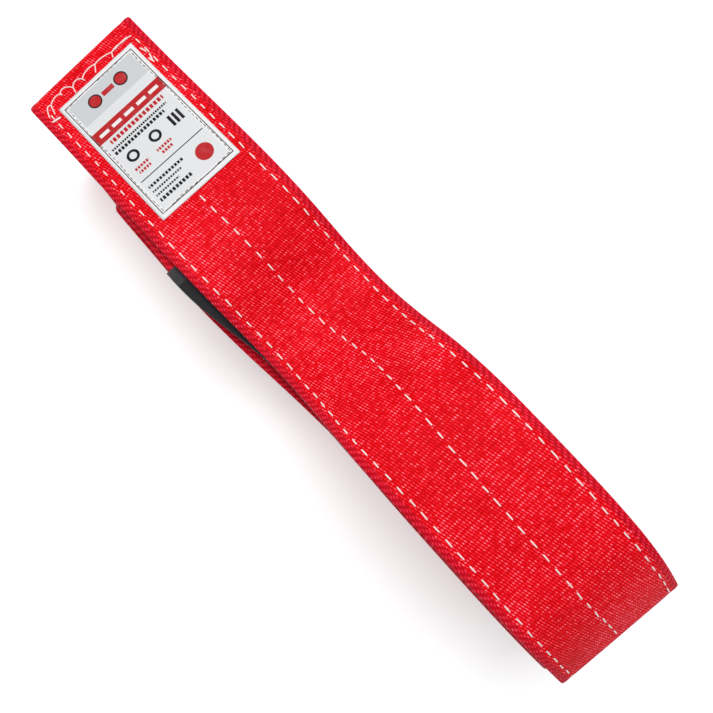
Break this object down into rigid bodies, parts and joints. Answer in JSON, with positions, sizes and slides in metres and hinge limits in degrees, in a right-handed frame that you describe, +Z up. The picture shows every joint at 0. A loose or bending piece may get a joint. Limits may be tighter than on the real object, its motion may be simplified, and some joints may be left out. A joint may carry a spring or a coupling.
{
  "type": "tow strap",
  "caption": "Flat red webbing tow strap with a sleeved eye at each end, folded into a long bundle, with a sewn label near one end.",
  "frame": {"origin": "middle of the bundle's bounding box, on the level it rests on", "axes": "+X along the bundle from the labelled fold to the high end, +Y across the webbing, +Z up"},
  "size_m": [0.4282, 0.0864, 0.1521],
  "materials": {
    "red_webbing": "woven polyester with a slight sheen",
    "black_cloth": "matte woven nylon",
    "label_sheet": "printed satin sheet"
  },
  "bodies": {
    "root": {"webbing": "red_webbing", "first_eye_sleeve": "black_cloth", "second_eye_sleeve": "black_cloth", "label": "label_sheet"}
  },
  "joints": []
}
